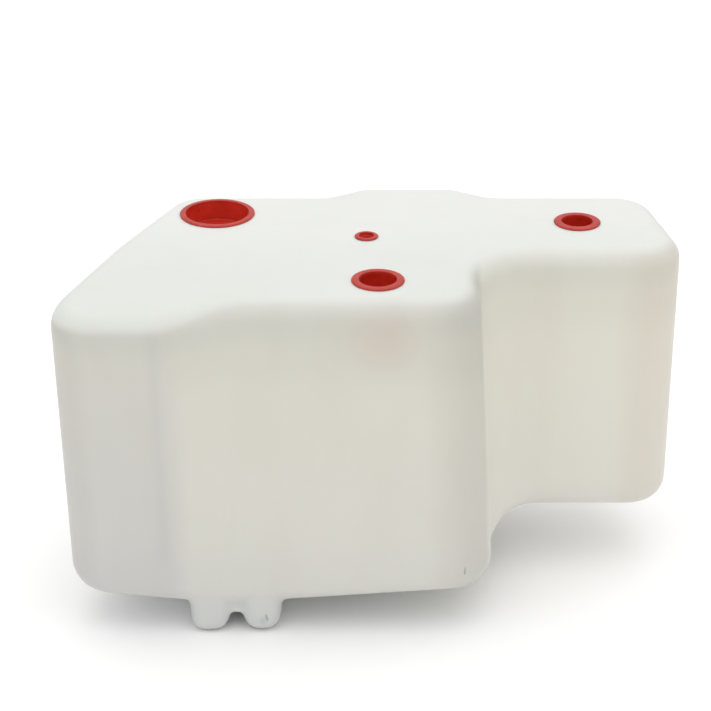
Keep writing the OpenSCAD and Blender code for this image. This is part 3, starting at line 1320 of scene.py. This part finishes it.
        # Paints the suction plug's show-through onto the front wall as a soft reddish patch.
        suction = next(p for p in ports if p.kind is PortKind.SUCTION).centre
        rightwards, upwards = self.glow_offset
        middle = Vector((suction.x + rightwards, body.front, suction.z + upwards))
        glow = nodes.patch(middle, self.glow_size, soft=1.0)
        colour = nodes.mix(nodes.product(glow, self.glow_share), colour, self.glow)
        nodes.set(
            {
                "Base Color": self.wear(nodes, colour),
                "Roughness": nodes.cloudy(16, 4, 1, *self.roughness),
                "IOR": 1.5,
                "Specular IOR Level": 0.35,
                "Subsurface Weight": 0.35,
                "Subsurface Radius": (1.0, 0.92, 0.78),
                "Subsurface Scale": 0.009,
            }
        )
        nodes.bump(
            [
                (nodes.noise(9, 2, seed=7), 0.25, 0.0020),
                (nodes.noise(650, 3, seed=2), 0.10, 0.00025),
            ]
        )
        return nodes.material


@dataclass(frozen=True)
class InsertPolyethylene:
    """Denser natural polyethylene with the fine rings of a turned surface.

    Attributes:
        light: Lighter colour.
        dark: Darker colour.
        roughness: Lowest and highest roughness.
    """

    light: tuple = (0.76, 0.75, 0.70)
    dark: tuple = (0.68, 0.66, 0.60)
    roughness: tuple[float, float] = (0.30, 0.42)

    def material(self) -> bpy.types.Material:
        """Makes the material of the inserts.

        Returns:
            The material.
        """
        nodes = Nodes("insert_polyethylene")
        colour = nodes.between(nodes.noise(60, 3), ((0.3, self.dark), (0.7, self.light)))
        rings = nodes.noise(40, 2, seed=4, stretch=(1, 1, 60))
        nodes.set(
            {
                "Base Color": colour,
                "Roughness": nodes.cloudy(90, 2, 6, *self.roughness),
                "Subsurface Weight": 0.25,
                "Subsurface Radius": (1.0, 0.9, 0.7),
                "Subsurface Scale": 0.004,
            }
        )
        nodes.bump([(rings, 0.15, 0.0002)])
        return nodes.material


@dataclass(frozen=True)
class RedPolyethylene:
    """Soft, waxy red polyethylene of a thin moulded transport plug, with painted shade on its
    flange and deep in its cup.

    Attributes:
        light: Lighter of the two reds that cloud the plug.
        deep: Darker of the two.
        rim: Painted shade on the flange, which makes it darker and less red than the rest of the
            plug.
        flange_shade_heights: Heights from the tank's top between which the flange's painted shade
            comes in.
        cup_shade: Painted shade on the cup's floor and foot, deep in its recess.
        cup_shade_heights: Heights from the tank's top between which that painted shade ends.
        dust: Pale specks.
        roughness: Lowest and highest roughness.
    """

    light: tuple = (0.60, 0.036, 0.018)
    deep: tuple = (0.52, 0.024, 0.012)
    # Painted shade on the flange, darker and less red.
    rim: tuple = (0.73, 0.80, 0.90)
    flange_shade_heights: tuple[float, float] = (-0.0010, 0.0010)
    # Painted shade deep in the cup's recess.
    cup_shade: tuple = (0.80, 0.62, 0.60)
    cup_shade_heights: tuple[float, float] = (-0.0215, -0.0150)
    dust: Mottle = Mottle(
        (0.70, 0.25, 0.20), 260, 2, cut=(0.60, 0.75), share=0.10, seed=8, blend="MIX"
    )
    roughness: tuple[float, float] = (0.27, 0.40)

    def material(self, top: float) -> bpy.types.Material:
        """Makes the material of the plugs.

        Args:
            top: Height of the tank's top, which the flanges lie on.

        Returns:
            The material.
        """
        nodes = Nodes("red_polyethylene")
        colour = nodes.between(nodes.noise(45, 3), ((0.3, self.deep), (0.7, self.light)))
        height = nodes.add("ShaderNodeSeparateXYZ", {0: nodes.place}).outputs["Z"]
        # Painted shade: darkens the cup's floor and foot, deep in the recess.
        foot = nodes.spread(height, *(top + h for h in self.cup_shade_heights), 1, 0)
        colour = nodes.mix(foot, colour, self.cup_shade, "MULTIPLY")
        # Painted shade: darkens the flange above the tank's top.
        flange = nodes.spread(height, *(top + h for h in self.flange_shade_heights), 0, 1)
        colour = nodes.mix(flange, colour, self.rim, "MULTIPLY")
        nodes.set(
            {
                "Base Color": nodes.mottled(colour, [self.dust]),
                "Roughness": nodes.cloudy(70, 3, 2, *self.roughness),
                "Subsurface Weight": 0.20,
                "Subsurface Radius": (1.0, 0.15, 0.08),
                "Subsurface Scale": 0.003,
                "Specular IOR Level": 0.27,
            }
        )
        nodes.bump([(nodes.noise(900, 2, seed=1), 0.06, 0.0002)])
        return nodes.material


@dataclass(frozen=True)
class PaleFloor:
    """Even, matt white studio floor.

    Attributes:
        colour: Colour of the floor.
        clouds: Faint darker clouds.
    """

    colour: tuple = (0.985, 0.985, 0.985)
    clouds: Mottle = Mottle((0.965, 0.965, 0.965), 3, 2, cut=(0.3, 0.7), share=0.05, blend="MIX")

    def material(self) -> bpy.types.Material:
        """Makes the material of the floor.

        Returns:
            The material.
        """
        nodes = Nodes("pale_floor")
        colour = nodes.mottled(self.colour, [self.clouds])
        nodes.set({"Base Color": colour, "Roughness": 0.9, "Specular IOR Level": 0.2})
        return nodes.material


# ---------------------------------------------------------------------------------------
# The studio
# ---------------------------------------------------------------------------------------


@dataclass
class Studio:
    """Floor, soft light and camera.

    Attributes:
        floor_size: Length of the floor's sides.
        aim: Point that the camera looks at, from the middle of the tank's box.
        elevation: Height of the camera above the horizon, in degrees.
        distance: Distance from the camera to that point.
        lens: Focal length in millimetres.
        overhead: Power of the soft light above the tank.
        lamp_size: Length of the light's sides.
        lamp_offset: Place of the light, from the middle of the tank's box.
        zenith: Brightness of the surroundings overhead.
        horizon: Brightness of the surroundings at the horizon in front of the tank.
        flanks: Share of that brightness to the left and right of the tank.
    """

    floor_size: float = 14.0
    aim: tuple[float, float, float] = (-0.0215, 0.052, 0.041)
    elevation: float = 26.0
    distance: float = 2.25
    lens: float = 103.8
    overhead: float = 19.0
    lamp_size: float = 3.0
    lamp_offset: tuple[float, float, float] = (0.1, -0.3, 2.4)
    zenith: float = 1.14
    horizon: float = 0.86
    flanks: float = 0.74

    def lay_floor(self, height: float) -> None:
        """Lays the floor that the tank stands on.

        Args:
            height: Height of the floor.
        """
        deselect_all()
        bpy.ops.mesh.primitive_plane_add(size=self.floor_size)
        floor = bpy.context.object
        floor.name = "studio_floor"
        for vertex in floor.data.vertices:
            vertex.co.z = height
        floor.data.materials.append(PaleFloor().material())

    def light(self, centre: Vector) -> None:
        """Hangs the soft light and paints the surroundings.

        Args:
            centre: Middle of the tank's box.
        """
        offset = Vector(self.lamp_offset)
        data = bpy.data.lights.new("overhead_light", "AREA")
        data.shape, data.size, data.energy = "SQUARE", self.lamp_size, self.overhead
        lamp = bpy.data.objects.new("overhead_light", data)
        lamp.location = centre + offset
        lamp.rotation_euler = offset.to_track_quat("Z", "Y").to_euler()
        bpy.context.scene.collection.objects.link(lamp)
        world = bpy.data.worlds.new("soft_surroundings")
        bpy.context.scene.world = world
        world.use_nodes = True
        tree = world.node_tree
        background = next(n for n in tree.nodes if n.type == "BACKGROUND")
        place = tree.nodes.new("ShaderNodeTexCoord")
        parts = tree.nodes.new("ShaderNodeSeparateXYZ")
        tree.links.new(place.outputs["Generated"], parts.inputs[0])
        across = tree.nodes.new("ShaderNodeMath")
        across.operation = "ABSOLUTE"
        tree.links.new(parts.outputs["X"], across.inputs[0])
        side = tree.nodes.new("ShaderNodeMapRange")
        side.inputs["To Min"].default_value = self.horizon
        side.inputs["To Max"].default_value = self.horizon * self.flanks
        tree.links.new(across.outputs[0], side.inputs["Value"])
        rise = tree.nodes.new("ShaderNodeMapRange")
        rise.inputs["To Max"].default_value = self.zenith
        tree.links.new(parts.outputs["Z"], rise.inputs["Value"])
        tree.links.new(side.outputs["Result"], rise.inputs["To Min"])
        tree.links.new(rise.outputs["Result"], background.inputs["Strength"])
        background.inputs["Color"].default_value = (1.0, 1.0, 1.0, 1)
        bpy.context.scene.view_settings.view_transform = "Standard"

    def place_camera(self, centre: Vector) -> None:
        """Sets up the camera in front of the tank.

        Args:
            centre: Middle of the tank's box.
        """
        tilt = math.radians(self.elevation)
        back = Vector((0, -math.cos(tilt), math.sin(tilt)))
        data = bpy.data.cameras.new("camera")
        data.lens = self.lens
        camera = bpy.data.objects.new("camera", data)
        camera.location = centre + Vector(self.aim) + back * self.distance
        camera.rotation_euler = (QUARTER_TURN - tilt, 0, 0)
        bpy.context.scene.collection.objects.link(camera)
        bpy.context.scene.camera = camera


def dress(
    piece: bpy.types.Object, material: bpy.types.Material, body: str, node: str
) -> None:
    """Gives a finished piece its material and its place in the frame.

    Args:
        piece: The finished object.
        material: Its material.
        body: The body it moves with.
        node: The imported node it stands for.
    """
    piece.data.materials.clear()
    piece.data.materials.append(material)
    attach(piece, body)
    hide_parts(node)
    triangles = sum(len(face.vertices) - 2 for face in piece.data.polygons)
    log.info("%s stands for %s: %d triangles", piece.name, node, triangles)


def main() -> None:
    """Builds the tank, its inserts, its plugs and the studio around them."""
    logging.basicConfig(level=logging.INFO, format="%(name)s: %(message)s")
    ports = [
        Port(PortKind.FILLER, bore=0.0722, pitch=0.00231, mouth=0.0680, lip=0.0014, steps=128),
        Port(PortKind.BREATHER, bore=0.0186, pitch=0.00181, mouth=0.0155, lip=0.0002, steps=64),
        Port(PortKind.SUCTION, bore=0.0449, pitch=0.00231, mouth=0.0380, lip=0.00155, steps=96),
        Port(PortKind.SENDER, bore=0.0389, pitch=0.00231, mouth=0.0330, lip=0.00255, steps=96),
    ]
    tank = TankBody()
    shell = tank.build(ports)
    skin = NaturalPolyethylene().material(tank, ports)
    dress(shell, skin, "tank", "tank_shell")
    insert_finish = InsertPolyethylene().material()
    plug_finish = RedPolyethylene().material(tank.top)
    for port in ports:
        name = port.kind.value
        dress(port.build_insert(), insert_finish, "tank", f"{name}_insert")
        dress(port.build_plug(), plug_finish, f"{name}_plug", f"{name}_plug")
    low, high = (Vector(corner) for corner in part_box("tank_shell"))
    studio = Studio()
    studio.lay_floor(low.z)
    studio.light((low + high) / 2)
    studio.place_camera((low + high) / 2)
    deselect_all()


if __name__ == "__main__":
    main()
